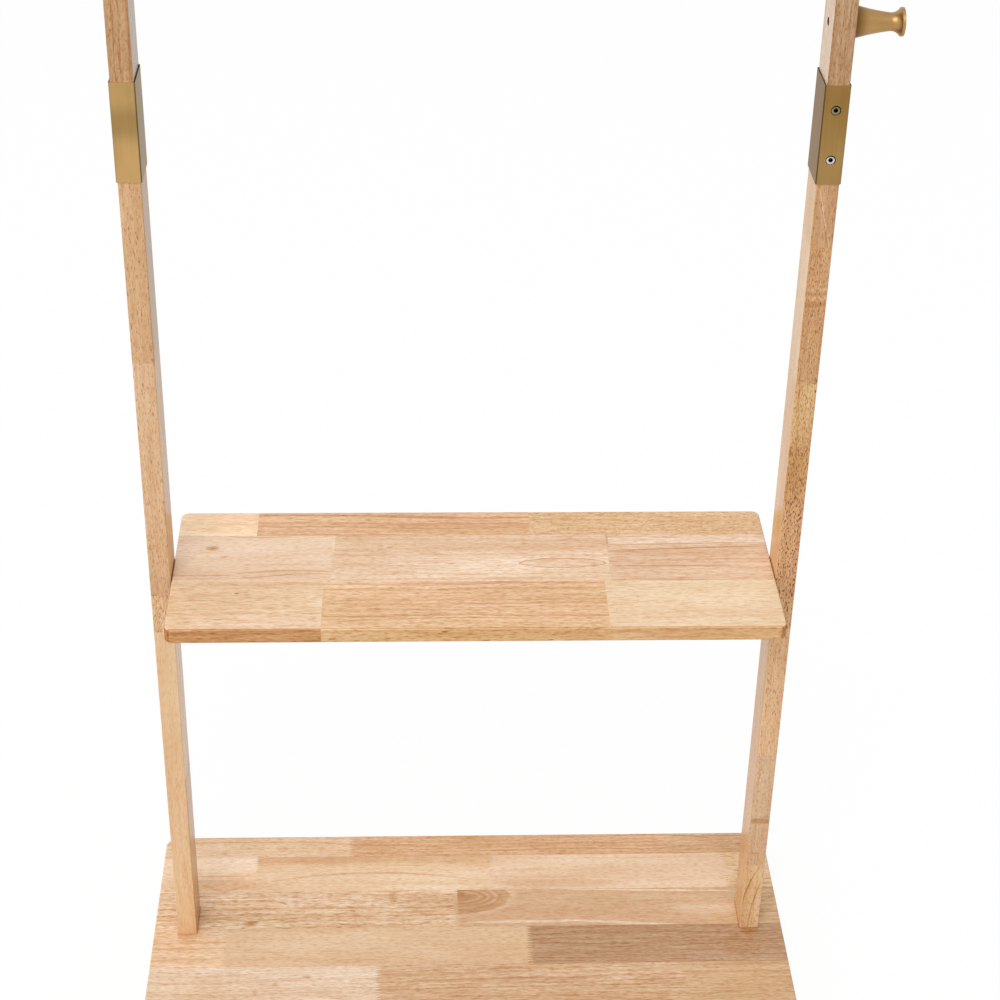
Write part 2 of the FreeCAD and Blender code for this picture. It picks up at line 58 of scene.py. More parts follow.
# Rubberwood: its tones, as they show in daylight, in levels from 0 to 255.
TONES = {
    "pearl": (254, 222, 186),
    "ivory": (237, 204, 173),
    "blush": (245, 213, 181),
    "vanilla": (235, 204, 168),
    "cream": (237, 198, 156),
    "shell": (231, 201, 172),
    "straw": (234, 198, 161),
    "sand": (227, 192, 155),
    "linen": (216, 183, 151),
    "wheat": (231, 193, 149),
    "rose": (225, 186, 152),
    "gold": (227, 188, 143),
    "honey": (227, 183, 139),
    "fawn": (219, 172, 118),
    "apricot": (221, 173, 129),
    "copper": (214, 166, 120),
    "biscuit": (219, 178, 136),
    "tan": (214, 174, 135),
    "caramel": (214, 171, 127),
    "ochre": (215, 173, 120),
    "amber": (210, 169, 126),
    "brown": (206, 159, 111),
    "bronze": (195, 167, 134),
    "umber": (198, 152, 108),
    "dun": (192, 148, 97),
    "mauve": (190, 149, 112),
    "chestnut": (188, 144, 100),
    "cocoa": (182, 141, 102),
}
# How much each figure has of growth lines, pore ticks and pore dots, and how far its lines arch.
FIGURES = {
    "plain": (0.15, 0.05, 0.0, 0.2),
    "fine": (0.4, 0.08, 0.0, 0.0),
    "lined": (0.75, 0.1, 0.0, 0.0),
    "dashed": (0.7, 0.2, 0.0, 0.0),
    "rough": (0.8, 0.28, 0.0, 0.0),
    "striped": (0.85, 0.3, 0.0, 0.0),
    "specked": (0.3, 0.16, 0.0, 0.1),
    "curly": (0.35, 0.12, 0.24, 0.1),
    "ticked": (0.3, 0.35, 0.0, 0.1),
    "flecked": (0.4, 0.6, 0.25, 0.1),
    "speckled": (0.4, 0.5, 0.5, 0.1),
    "dotted": (0.3, 0.1, 1.0, 0.1),
}
# What a stain of 1 leaves of red, green and blue light.
CLEAR = (0.76, 0.60, 0.45)
# The two hues between which the wood drifts, and how strongly.
ROSY = (1.015, 0.985, 1.0, 1.0)
GOLDEN = (0.99, 1.01, 0.95, 1.0)
HUE_DRIFT = 1.1

# How often each pattern of the grain repeats in a metre along, across and through the wood.
WOBBLE = (2.5, 14.0, 14.0)
RIPPLE = (14.0, 45.0, 45.0)
STREAKS = (24.0, 330.0, 330.0)
FIBRES = (125.0, 650.0, 650.0)
CLOUDS = (4.0, 24.0, 24.0)
DRIFTS = (4.0, 30.0, 30.0)
BOARD_TICKS = (65.0, 800.0, 800.0)
BATTEN_TICKS = (200.0, 1300.0, 1300.0)
DOTS = (240.0, 820.0, 820.0)
WAVERS = (50.0, 130.0, 130.0)
# Detail and roughness of the noise in streaks and in growth lines.
STREAK_NOISE = (4.0, 0.65)
RING_NOISE = (3.0, 0.7)
# Growth lines: how many a metre across holds, how they tilt with depth, how far wobbles and ripples shift
# them, how high arches are and how fast they close along boards and battens.
RINGS = 180.0
RING_TILT = 0.6
STRAIGHT_WOBBLE = 0.03
ARCHED_WOBBLE = 0.012
RIPPLE_SHIFT = 0.006
ARCH_RISE = 0.011
BOARD_TAPER = 0.05
BATTEN_TAPER = 0.15
# Each block has a seed of its own. It sets how far off its grain starts, in metres and in growth lines.
SEED_STEP = 0.618
SEEDS_PER_STRIP = 7
GRAIN_SPREAD = (3.0, 3.0, 3.0)
RING_SPREAD = 40.0
# Noise levels between which pores show, and how dark dots are beside ticks.
TICK_SPAN = (0.10, 0.20)
DOT_SPAN = (0.06, 0.15)
DOT_SHARE = 0.8
# How much more the grain darkens than it pales, and what that adds on the whole.
DARK_TAIL = 2.5
DARK_MEAN = 0.022

# Stain by its cause. Streaks and fibres have one share all over and one that goes with the growth lines.
RING_STAIN = 2.8
STREAK_STAIN = 0.6
LINED_STREAK_STAIN = 2.2
BOARD_FIBRE_STAIN = 1.4
BATTEN_FIBRE_STAIN = 0.7
LINED_FIBRE_STAIN = 1.2
CLOUD_STAIN = 1.2
PORE_STAIN = 5.5
SEAM_STAIN = 0.3
# Painted shade, added like a stain, round the uprights' feet on the base and at the shelf's ends.
BASE_CONTACT_SHADE = 1.5
SHELF_CONTACT_SHADE = 5.0
SHELF_EDGE_DARKENING = 0.4
END_GRAIN_AND_CORNER_SHADE = 1.6
# Painted shade inside the bore for the hook's screw, added like a stain.
HOLE_SHADE = 5.0
# How level a face is where the shelf's edge begins and where it is all edge, and how far sideways its end
# grain faces. Faces that are not level come out darker, and faces turned sideways darker still: partly the
# end grain's own tone, partly painted shade on the shelf's rounded corners beside the uprights.
EDGE_FACING = (0.8, 0.3)
END_FACING = (0.4, 0.9)

# Finger joints and glued seams, the shade where pieces touch, and the bore for the hook's screw.
TOOTH_LENGTH = 0.0085
TOOTH_PITCH = 0.0042
SEAM_WIDTH = 0.0003
CONTACT_WIDTH = 0.0013
HOLE_RADIUS = 0.0046

# The clear satin finish, and the relief of streaks and pores under it.
WOOD_ROUGHNESS = 0.28
WOOD_ROUGHNESS_SWING = 0.2
WOOD_GLOSS = 0.5
WOOD_IOR = 1.45
STREAK_RELIEF = 0.5
PORE_RELIEF = -1.0
WOOD_BUMP = {"Strength": 0.15, "Distance": 0.0003}

# Seams and joints that marks keep to: on the base, of the pale, dull, burl's and fair strips from the front;
# on the shelf, of its front strip and the middle one.
PALE_RIGHT = 0.268
DULL_LEFT = -0.307
BURL_FRONT, BURL_BACK = -0.0175, 0.0512
BURL_LEFT = -0.0145
FAIR_BACK = 0.1188
FAIR_LEFT, FAIR_RIGHT = -0.2775, 0.034
FRONT_LEFT, FRONT_RIGHT = -0.1695, 0.1525
MIDDLE_FRONT, MIDDLE_BACK = -0.0275, 0.0700
MIDDLE_LEFT, MIDDLE_RIGHT = -0.162, 0.159

# Glued boards, strip by strip from the front: where a strip ends, and its blocks from the left, each with
# where it ends, its tone and its figure. The last strip and the last block end with the board.
BASE_STRIPS = [
    (-0.1535, [(-0.22, "sand", "lined"), (0.10, "shell", "plain"), (None, "tan", "lined")]),
    (-0.0855, [(-0.113, "shell", "fine"), (PALE_RIGHT, "tan", "lined"), (None, "amber", "fine")]),
    (BURL_FRONT, [(DULL_LEFT, "straw", "fine"), (0.0775, "sand", "plain"), (None, "mauve", "lined")]),
    (BURL_BACK, [(BURL_LEFT, "sand", "rough"), (0.362, "tan", "plain"), (None, "amber", "lined")]),
    (FAIR_BACK, [(FAIR_LEFT, "blush", "plain"), (FAIR_RIGHT, "straw", "plain"), (0.3435, "ivory", "plain"),
                 (0.362, "wheat", "ticked"), (None, "cream", "lined")]),
    (None, [(-0.150, "straw", "fine"), (0.275, "apricot", "lined"), (None, "caramel", "lined")]),
]
SHELF_STRIPS = [
    (-0.1193, [(-0.170, "copper", "lined"), (0.153, "wheat", "ticked"), (None, "gold", "fine")]),
    (MIDDLE_FRONT, [(FRONT_LEFT, "straw", "specked"), (FRONT_RIGHT, "honey", "dashed"),
                    (None, "vanilla", "plain")]),
    (MIDDLE_BACK, [(MIDDLE_LEFT, "ivory", "plain"), (MIDDLE_RIGHT, "ivory", "fine"), (None, "rose", "fine")]),
    (None, [(-0.2505, "pearl", "plain"), (0.0705, "apricot", "lined"), (None, "gold", "curly")]),
]
# Heights of the battens' joints that fronts share with inner faces or with marks. The lower and the upper
# battens meet at the last one.
LEFT_JOINT_LOW, LEFT_JOINT_MID, LEFT_JOINT_HIGH = 0.282, 0.501, 0.849
RIGHT_JOINT_LOW, RIGHT_JOINT_MID, RIGHT_JOINT_HIGH = 0.132, 0.8235, 0.988
MEETING = 1.114
# Battens, block by block from the floor up, on their fronts and on their inner faces, which are a skin deep.
LEFT_BLOCKS = [(LEFT_JOINT_LOW, "honey", "plain"), (LEFT_JOINT_MID, "wheat", "plain"),
               (0.553, "gold", "flecked"), (LEFT_JOINT_HIGH, "biscuit", "ticked"),
               (MEETING, "caramel", "ticked"), (None, "chestnut", "striped")]
RIGHT_BLOCKS = [(RIGHT_JOINT_LOW, "gold", "ticked"), (0.310, "tan", "ticked"), (0.501, "honey", "ticked"),
                (0.565, "brown", "dotted"), (0.676, "copper", "dotted"), (0.745, "ochre", "speckled"),
                (RIGHT_JOINT_MID, "ochre", "flecked"), (RIGHT_JOINT_HIGH, "brown", "flecked"),
                (MEETING, "umber", "ticked"), (None, "cocoa", "striped")]
LEFT_INNER = [(LEFT_JOINT_LOW, "fawn", "plain"), (LEFT_JOINT_MID, "cream", "plain"),
              (LEFT_JOINT_HIGH, "fawn", "plain"), (MEETING, "dun", "plain"), (None, "bronze", "plain")]
RIGHT_INNER = [(RIGHT_JOINT_MID, "fawn", "plain"), (RIGHT_JOINT_HIGH, "gold", "plain"),
               (MEETING, "fawn", "plain"), (None, "linen", "lined")]
SKIN = 0.0005


class Mark(NamedTuple):
    """A knot, streak or line in the wood, or a shade on it, as an ellipse.

    Its length and width are half of the ellipse's, dark is negative where it pales the wood, and rise is how
    far it lifts the growth lines. It leans across per metre along and bows by the square of that. The squared
    share of its size within which it is darkest is its core. It keeps within start and end along, and within
    low and high across, and ragged tells how uneven its outline is."""
    along: float
    across: float
    length: float
    width: float
    dark: float
    rise: float = 0.0
    lean: float = 0.0
    bow: float = 0.0
    core: float = 0.5
    start: float = None
    end: float = None
    low: float = None
    high: float = None
    ragged: float = 0.8


# The right upright's inner, middle and outer places, from which the left one's follow, and both ones' front
# and foot. The right one's marks lie on its front alone.
UPRIGHT_NEAR, UPRIGHT_MIDDLE, UPRIGHT_FAR = 0.3465, 0.3585, 0.3705
UPRIGHT_FRONT = -0.025
UPRIGHT_FOOT = 0.028
RIGHT_FRONT = 0.3472
WHOLE_WIDTH = 0.03

BURL = {"along": -0.020, "across": 0.038, "start": BURL_LEFT, "high": BURL_BACK, "ragged": 0.25}
# The burl's pale halo and its body, and its rings by length, width and darkness.
BURL_MARKS = [
    Mark(length=0.0880, width=0.0420, dark=-0.35, core=0.7, **BURL),
    Mark(length=0.0750, width=0.0340, dark=0.80, rise=0.03, core=0.9, **BURL),
]
BURL_RINGS = [
    (0.0640, 0.0265, 0.30), (0.0600, 0.0238, -0.65), (0.0545, 0.0203, 0.60), (0.0490, 0.0172, -0.45),
    (0.0450, 0.0150, 0.60), (0.0390, 0.0118, -0.50), (0.0330, 0.0090, 0.55),
]
BURL_MARKS += [
    Mark(length=length, width=width, dark=dark, core=0.9, **BURL) for length, width, dark in BURL_RINGS
]
BASE_MARKS = BURL_MARKS + [
    Mark(-0.010, 0.046, 0.0053, 0.010, 0.3, core=0.9, start=BURL_LEFT, high=BURL_BACK, ragged=0.25),
    # Knots and streaks left of the burl
    Mark(-0.280, -0.008, 0.012, 0.007, 1.1, 0.006, core=0.0),
    Mark(-0.280, -0.008, 0.004, 0.002, 0.6, core=0.0),
    Mark(-0.098, 0.036, 0.007, 0.012, 0.7, 0.006, core=0.0),
    Mark(-0.085, -0.008, 0.004, 0.006, 0.4, core=0.0),
    Mark(-0.045, 0.025, 0.050, 0.030, 0.25, core=0.0, end=BURL_LEFT),
    Mark(-0.210, -0.009, 0.190, 0.006, -0.25, core=0.0),
    Mark(-0.300, 0.038, 0.100, 0.0011, -0.5),
    Mark(-0.155, 0.022, 0.004, 0.0012, 0.9),
    Mark(-0.093, 0.003, 0.004, 0.0012, 0.8),
    # Pale lines right of it
    Mark(0.075, -0.0092, 0.080, 0.0030, -0.65, low=BURL_FRONT),
    Mark(0.195, -0.0125, 0.095, 0.0026, -0.7, lean=-0.075, low=BURL_FRONT),
    Mark(0.240, 0.0475, 0.125, 0.0014, -0.9, lean=-0.025),
    Mark(0.310, 0.011, 0.060, 0.012, -0.3, core=0.0),
    # The fair strip behind it
    Mark(-0.330, 0.104, 0.110, 0.022, -0.25, core=0.0, end=FAIR_LEFT),
    Mark(-0.340, 0.063, 0.110, 0.017, 0.45, core=0.2, end=FAIR_LEFT, low=BURL_BACK),
    Mark(-0.325, 0.0825, 0.060, 0.0013, 0.6, end=FAIR_LEFT),
    Mark(-0.331, 0.0582, 0.020, 0.0040, 0.3, lean=-0.40, core=0.0, low=BURL_BACK),
    Mark(-0.304, 0.0575, 0.022, 0.0040, 0.3, lean=0.40, core=0.0, low=BURL_BACK, end=FAIR_LEFT),
    Mark(-0.125, 0.0862, 0.165, 0.0024, 0.6, bow=-0.85, core=0.2, end=FAIR_RIGHT),
    Mark(-0.120, 0.1220, 0.220, 0.026, 0.50, bow=-0.3, core=0.0, start=FAIR_LEFT, end=FAIR_RIGHT,
         high=FAIR_BACK),
    Mark(-0.040, 0.0570, 0.120, 0.007, -0.25, core=0.0, low=BURL_BACK),
    Mark(0.130, 0.0620, 0.110, 0.0100, 0.35, core=0.0, start=FAIR_RIGHT, low=BURL_BACK),
    Mark(0.080, 0.0900, 0.050, 0.0040, 0.30, lean=0.08, core=0.0, start=FAIR_RIGHT),
    # The strip at the back
    Mark(-0.244, 0.136, 0.010, 0.006, 0.35, core=0.0),
    Mark(-0.120, 0.125, 0.014, 0.003, 0.3, 0.006),
    Mark(0.129, 0.126, 0.006, 0.0016, 0.9),
    # The dull and the pale strip in front
    Mark(-0.355, -0.073, 0.055, 0.007, 0.4, core=0.0, end=DULL_LEFT),
    Mark(-0.320, -0.041, 0.016, 0.0025, 0.6, core=0.0, end=DULL_LEFT),
    Mark(-0.015, -0.085, 0.005, 0.0012, 0.9),
    Mark(0.074, -0.083, 0.003, 0.0015, 1.0),
    Mark(-0.205, -0.1045, 0.007, 0.003, 0.7, core=0.0),
    Mark(-0.296, -0.1160, 0.012, 0.004, -0.3, core=0.0),
    Mark(0.050, -0.1150, 0.150, 0.008, 0.30, bow=0.35, core=0.0, end=PALE_RIGHT),
    Mark(0.150, -0.0960, 0.130, 0.005, -0.25, lean=0.06, core=0.0, end=PALE_RIGHT),
    Mark(0.235, -0.1130, 0.045, 0.010, 0.35, core=0.0, end=PALE_RIGHT),
    # Painted shade and painted reflection of the uprights in front of their feet
    Mark(-UPRIGHT_MIDDLE, UPRIGHT_FRONT, 0.020, 0.018, 0.5, core=0.0, start=-UPRIGHT_FAR, end=-UPRIGHT_NEAR),
    Mark(UPRIGHT_MIDDLE, UPRIGHT_FRONT, 0.020, 0.018, 0.6, core=0.0, start=UPRIGHT_NEAR, end=UPRIGHT_FAR),
]
SHELF_MARKS = [
    # The middle strip's left block, with its knot
    Mark(-0.304, 0.043, 0.0180, 0.0120, 0.25, core=0.0),
    Mark(-0.304, 0.043, 0.0095, 0.0060, 0.85, core=0.2),
    Mark(-0.304, 0.043, 0.0035, 0.0022, 1.0, core=0.2),
    Mark(-0.289, 0.025, 0.005, 0.0018, 0.9),
    Mark(-0.250, 0.066, 0.045, 0.0016, 0.6, bow=1.8, high=MIDDLE_BACK),
    Mark(-0.315, -0.013, 0.045, 0.0016, 0.6),
    Mark(-0.210, -0.004, 0.075, 0.0017, 0.8, lean=0.012, bow=-1.26, end=MIDDLE_LEFT),
    Mark(-0.315, -0.0205, 0.040, 0.0013, 0.45),
    Mark(-0.235, -0.0150, 0.040, 0.0016, 0.7, lean=0.15),
    Mark(-0.190, -0.0105, 0.030, 0.0015, 0.6, bow=-2.0, end=MIDDLE_LEFT),
    Mark(-0.210, 0.009, 0.050, 0.0015, 0.35, bow=-1.5, end=MIDDLE_LEFT),
    # Its middle block, with the eye's outline
    Mark(-0.098, 0.044, 0.004, 0.0015, 1.0),
    Mark(-0.026, 0.009, 0.004, 0.0012, 1.2),
    Mark(-0.140, -0.018, 0.004, 0.0012, 0.8),
    Mark(-0.003, 0.062, 0.400, 0.040, 0.35, core=0.1, start=MIDDLE_LEFT, end=MIDDLE_RIGHT, high=MIDDLE_BACK),
    Mark(-0.150, 0.030, 0.070, 0.014, 0.25, core=0.0, start=MIDDLE_LEFT),
    Mark(0.030, 0.002, 0.130, 0.020, -0.35, core=0.0, end=MIDDLE_RIGHT),
    Mark(0.000, -0.023, 0.160, 0.0045, 0.2, core=0.0, end=MIDDLE_RIGHT),
    Mark(0.103, 0.0095, 0.051, 0.0105, 1.4, core=0.93),
    Mark(0.103, 0.0095, 0.0490, 0.0089, -1.1, core=0.93),
    Mark(0.132, 0.025, 0.004, 0.0013, 0.8),
    # Its right block
    Mark(0.250, 0.058, 0.200, 0.0105, -0.4, core=0.6, start=MIDDLE_RIGHT, high=MIDDLE_BACK),
    Mark(0.250, 0.0495, 0.130, 0.0013, 0.9, lean=0.020, core=0.2, start=MIDDLE_RIGHT),
    Mark(0.250, 0.0395, 0.130, 0.0017, 1.4, lean=0.045, core=0.2, start=MIDDLE_RIGHT),
    Mark(0.250, 0.0300, 0.130, 0.0080, 0.25, core=0.0, start=MIDDLE_RIGHT),
    Mark(0.230, 0.0030, 0.090, 0.0014, 1.0, core=0.2, start=MIDDLE_RIGHT),
    Mark(0.250, -0.011, 0.110, 0.013, -0.15, core=0.0, start=MIDDLE_RIGHT),
    # The strip at the back
    Mark(-0.153, 0.114, 0.003, 0.0015, 0.8),
    Mark(-0.050, 0.109, 0.100, 0.0045, 0.35, lean=-0.06, core=0.0),
    Mark(-0.070, 0.0905, 0.095, 0.0010, 0.5),
    # The strip in front, and the line along the shelf's front edge
    Mark(-0.270, -0.050, 0.003, 0.0013, 2.5),
    Mark(-0.010, -0.0305, 0.170, 0.0032, 0.35, core=0.0, start=FRONT_LEFT, end=FRONT_RIGHT,
         high=MIDDLE_FRONT),
    Mark(0.030, -0.065, 0.140, 0.0011, 0.5, end=FRONT_RIGHT),
    Mark(-0.130, -0.041, 0.018, 0.0010, 0.6),
    Mark(0.184, -0.059, 0.002, 0.0012, 0.9),
    Mark(0.158, -0.085, 0.0015, 0.0012, 0.8),
    Mark(0.000, -0.1196, 2.000, 0.0010, 0.7, core=0.3),
]
LEFT_MARKS = [
    Mark(0.550, -0.367, 0.0012, 0.004, 1.3),
    # Painted shade low on the inner face, darkest at the foot beside the base.
    Mark(UPRIGHT_FOOT, -UPRIGHT_NEAR, 0.100, WHOLE_WIDTH, 0.5, core=0.0, low=-UPRIGHT_NEAR - SKIN),
]
# Bands right across the right upright's front, by height, half height and darkness.
RIGHT_BANDS = [(0.946, 0.0025, -0.2), (0.939, 0.0025, -0.3), (0.934, 0.0030, 0.35), (0.9285, 0.0035, -0.35),
               (0.9215, 0.0045, 0.55), (0.712, 0.055, 0.55), (0.2055, 0.0055, 0.9)]
RIGHT_MARKS = [
    Mark(height, UPRIGHT_MIDDLE, reach, WHOLE_WIDTH, dark, core=0.0, low=RIGHT_FRONT)
    for height, reach, dark in RIGHT_BANDS
] + [
    Mark(1.0225, UPRIGHT_MIDDLE, 0.042, 0.0008, -0.6, lean=-0.246, start=RIGHT_JOINT_HIGH, low=RIGHT_FRONT),
    Mark(1.0060, 0.3610, 0.020, 0.0007, 0.5, lean=-0.246, start=RIGHT_JOINT_HIGH, low=RIGHT_FRONT),
    Mark(0.885, 0.3570, 0.030, 0.004, -0.3, core=0.0, low=RIGHT_FRONT),
    Mark(0.2120, 0.3650, 0.0014, 0.008, 0.5, low=RIGHT_FRONT),
    Mark(0.085, 0.3490, 0.055, 0.0013, 1.1, lean=0.183, bow=3.33, end=RIGHT_JOINT_LOW, low=RIGHT_FRONT),
    Mark(0.065, 0.3595, 0.045, 0.0012, 1.0, lean=0.139, bow=1.52, low=RIGHT_FRONT),
]


class Timber(NamedTuple):
    """How one board, or one pair of battens from the lower up, is laid up and finished.

    Its axes are those along, across and through the grain, and the teeth of its finger joints show across it,
    through it or not at all."""
    nodes: list
    axes: str
    strips: list
    marks: list
    teeth: str
    taper: float = BOARD_TAPER
    seam_stain: float = SEAM_STAIN
    fibre_stain: float = BOARD_FIBRE_STAIN
    ticks: tuple = BOARD_TICKS
    painted_contact_shade: float = 0.0
    edge_darkening: float = 0.0
    hole: tuple = ()


# Brass: the light and the dark of its satin finish, the painted shade on the sleeves' sides, on their front
# corners and in the gaps at their sides' top edges, the painted highlight on their front rim, and the painted
# shade on the hook's foot, which reaches so far out.
BRASS = {
    "turned": ((197, 159, 106), (175, 136, 83)),
    # The left sleeve's lighter tones and the right one's darker ones are painted light and shade.
    "left": ((202, 164, 106), (167, 135, 84)),
    "right": ((174, 140, 86), (150, 114, 60)),
}
BRASS_SIDE_SHADE = {"left": (147, 126, 88), "right": (136, 102, 50)}
BRASS_GAP_SHADE = (44, 35, 24)
BRASS_RIM_HIGHLIGHT = (236, 214, 160)
BRASS_SHADE = (120, 84, 44)
HOOK_SHADE = 0.018
# Its brush and its drifts of tone: how often they repeat in a metre, and how much they show.
BRASS_STREAKS = (700.0, 700.0, 12.0)
BRASS_CLOUDS = (24.0, 24.0, 14.0)
BRASS_STREAK_NOISE = (3.0, 0.6)
BRASS_STREAK_SHARE = 0.7
BRASS_CLOUD_SHARE = 1.2
BRASS_ROUGHNESS = 0.42
BRASS_ROUGHNESS_SWING = 0.2
BRASS_BUMP = {"Strength": 0.1, "Distance": 0.0001}
# Heights between which a sleeve grows lighter, with how much at both, and the left one's darker band: its
# height, how far off it ends and is darkest, and how dark it is. Both are painted light and shade.
SLEEVE_LIGHT = {"left": (1.118, 1.066, 0.0, 0.45), "right": (1.165, 1.066, -0.4, 0.3)}
SLEEVE_BAND = 1.1245
SLEEVE_BAND_SPAN = (0.026, 0.004)
SLEEVE_BAND_DARK = 0.65
# How far sideways a sleeve's sides and front corners face, how much of their painted shade they show, and
# how far up its top edges face.
FLANK_FACING = (0.4, 0.9)
FLANK_SHADE_SHARE = 0.85
CORNER_FACING = (0.15, 0.45)
CORNER_SHADE_SHARE = 0.6
TOP_FACING = 0.7

# Zinc-plated steel: its bright skin, and the dirt and shade in sockets and corners.
ZINC_LIGHT = (226, 224, 216)
ZINC_DARK = (186, 182, 170)
ZINC_SHADE = (24, 22, 20)
ZINC_GRAIN = (900.0, 900.0, 900.0)
ZINC_CONTRAST = 2.0
ZINC_ROUGHNESS = 0.32
ZINC_ROUGHNESS_SWING = 0.2
SHADE_REACH = 0.003
SHADE_SAMPLES = 8
SHADE_SPAN = (0.45, 0.8)
# The sleeves' screws: their heights, the radius of the painted shade in their sockets, the radius that is
# bare of the painted shade under the upper rim and how far down it lies, how soft both outlines are, and the
# upper screw's darker, browner tint.
SCREW_HEIGHTS = (1.087, 1.141)
SOCKET_RADIUS = 0.0023
SOCKET_BLUR = 0.0003
BARE_RADIUS = 0.0044
BARE_BLUR = 0.0006
BARE_DROP = 0.0011
UPPER_SCREW_TINT = (146, 134, 104)

# The feet's rubber and the dowels' bare wood.
RUBBER_LIGHT = (58, 57, 55)
RUBBER_DARK = (34, 33, 32)
RUBBER_GRAIN = (1200.0, 1200.0, 1200.0)
RUBBER_CONTRAST = 2.0
RUBBER_ROUGHNESS = 0.65
RUBBER_ROUGHNESS_SWING = 0.3
DOWEL_LIGHT = (234, 200, 162)
DOWEL_DARK = (206, 164, 122)
DOWEL_FIBRES = (300.0, 900.0, 300.0)
DOWEL_CONTRAST = 2.5
DOWEL_ROUGHNESS = 0.6
ROUGH_BUMP = {"Strength": 0.2, "Distance": 0.0002}
FINE_DETAIL = 3.0

LOWER_UPRIGHTS = ["lower_upright_left", "lower_upright_right"]


def linear(levels):
    """Linear light for levels from 0 to 255, by the sRGB curve."""
    return tuple(((level / 255 + 0.055) / 1.055) ** 2.4 for level in levels)


def opaque(levels):
    return linear(levels) + (1.0,)


class Graph:
    """One node tree, with short calls that add a node, set its inputs and return an output."""

    def __init__(self, tree):
        tree.nodes.clear()
        self.tree = tree

    def node(self, kind, inputs=(), **settings):
        node = self.tree.nodes.new("ShaderNode" + kind)
        for name, value in settings.items():
            setattr(node, name, value)
        for name, value in dict(inputs).items():
            self.feed(node.inputs[name], value)
        return node

    def feed(self, socket, value):
        if isinstance(value, bpy.types.NodeSocket):
            self.tree.links.new(value, socket)
        else:
            socket.default_value = value

    def math(self, operation, *values, clamp=False):
        inputs = dict(enumerate(values))
        return self.node("Math", inputs, operation=operation, use_clamp=clamp).outputs[0]

    def total(self, *values):
        added = values[0]
        for value in values[1:]:
            added = self.math("ADD", added, value)
        return added

    def times(self, *values):
        product = values[0]
        for value in values[1:]:
            product = self.math("MULTIPLY", product, value)
        return product

    def away(self, value, place):
        """How far a value lies from a place, on either side."""
        return self.math("ABSOLUTE", self.math("SUBTRACT", value, place))

    def vector(self, operation, *values):
        node = self.node("VectorMath", dict(enumerate(values)), operation=operation)
        return node.outputs["Value" if operation == "DOT_PRODUCT" else "Vector"]

    def parts(self, vector):
        return self.node("SeparateXYZ", {0: vector}).outputs

    def place(self):
        return self.node("TexCoord").outputs["Object"]

    def facing(self, normal="Normal"):
        return self.parts(self.node("NewGeometry").outputs[normal])

    def mix(self, factor, first, second, blend="MIX"):
        inputs = {0: factor, 6: first, 7: second}
        node = self.node("Mix", inputs, data_type="RGBA", blend_type=blend, clamp_factor=False)
        return node.outputs[2]

    def pick(self, factor, first, second):
        inputs = {0: factor, 2: first, 3: second}
        return self.node("Mix", inputs, data_type="FLOAT").outputs[0]

    def span(self, value, low, high, to_low=0.0, to_high=1.0):
        inputs = {0: value, 1: low, 2: high, 3: to_low, 4: to_high}
        return self.node("MapRange", inputs, interpolation_type="SMOOTHSTEP").outputs[0]

    def noise(self, place, per_metre, detail=2.0, roughness=0.5):
        """Noise about zero."""
        scaled = self.vector("MULTIPLY", place, per_metre)
        inputs = {"Vector": scaled, "Scale": 1.0, "Detail": detail, "Roughness": roughness}
        return self.math("SUBTRACT", self.node("TexNoise", inputs).outputs["Fac"], 0.5)

    def darker(self, value):
        """Noise about zero that reaches further up than down."""
        tail = self.math("MULTIPLY_ADD", self.math("MULTIPLY", value, value), DARK_TAIL, -DARK_MEAN)
        return self.math("ADD", value, tail)

    def share(self, noise, contrast):
        """Noise about zero as a share from 0 to 1."""
        return self.math("MULTIPLY_ADD", noise, contrast, 0.5, clamp=True)

    def tones(self, noise, contrast, dark, light):
        return self.mix(self.share(noise, contrast), opaque(dark), opaque(light))

    def bump(self, height, sizes):
        return self.node("Bump", {"Height": height, **sizes}).outputs[0]

    def steps(self, factor, stops):
        """Colour and alpha that jump at each stop: a place from 0 to 1, and four numbers from there on."""
        node = self.node("ValToRGB", {"Fac": factor})
        ramp = node.color_ramp
        ramp.interpolation = "CONSTANT"
        ramp.elements.remove(ramp.elements[-1])
        ramp.elements[0].color = stops[0][1]
        for place, colour in stops[1:]:
            ramp.elements.new(place).color = colour
        return node.outputs["Color"], node.outputs["Alpha"]

    def surface(self, **inputs):
        named = {name.replace("_", " "): value for name, value in inputs.items()}
        shader = self.node("BsdfPrincipled", named)
        self.node("OutputMaterial", {"Surface": shader.outputs[0]})


def new_material(name):
    material = bpy.data.materials.new(name)
    material.use_nodes = True
    return material, Graph(material.node_tree)


def add_camera():
    data = bpy.data.cameras.new("camera")
    data.sensor_width = SENSOR_WIDTH
    data.lens = LENS
    yaw, pitch, roll = (math.radians(a) for a in (CAMERA_YAW, CAMERA_PITCH, CAMERA_ROLL))
    level = math.cos(pitch)
    ahead = Vector((math.sin(yaw) * level, math.cos(yaw) * level, -math.sin(pitch)))
    right = Vector((math.cos(yaw), -math.sin(yaw), 0.0))
    up = right.cross(ahead)
    turned_right = math.cos(roll) * right + math.sin(roll) * up
    turned_up = math.cos(roll) * up - math.sin(roll) * right
    camera = bpy.data.objects.new("camera", data)
    turn = Matrix((turned_right, turned_up, -ahead)).transposed()
    camera.matrix_world = Matrix.Translation(CAMERA_PLACE) @ turn.to_4x4()
    bpy.context.collection.objects.link(camera)
    bpy.context.scene.camera = camera


def seen(graph):
    """1 for what the camera sees straight on, and part of that for what a surface mirrors."""
    path = graph.node("LightPath")
    mirrored = graph.math("MULTIPLY", path.outputs["Is Glossy Ray"], MIRRORED_SHARE)
    return graph.math("MAXIMUM", path.outputs["Is Camera Ray"], mirrored)


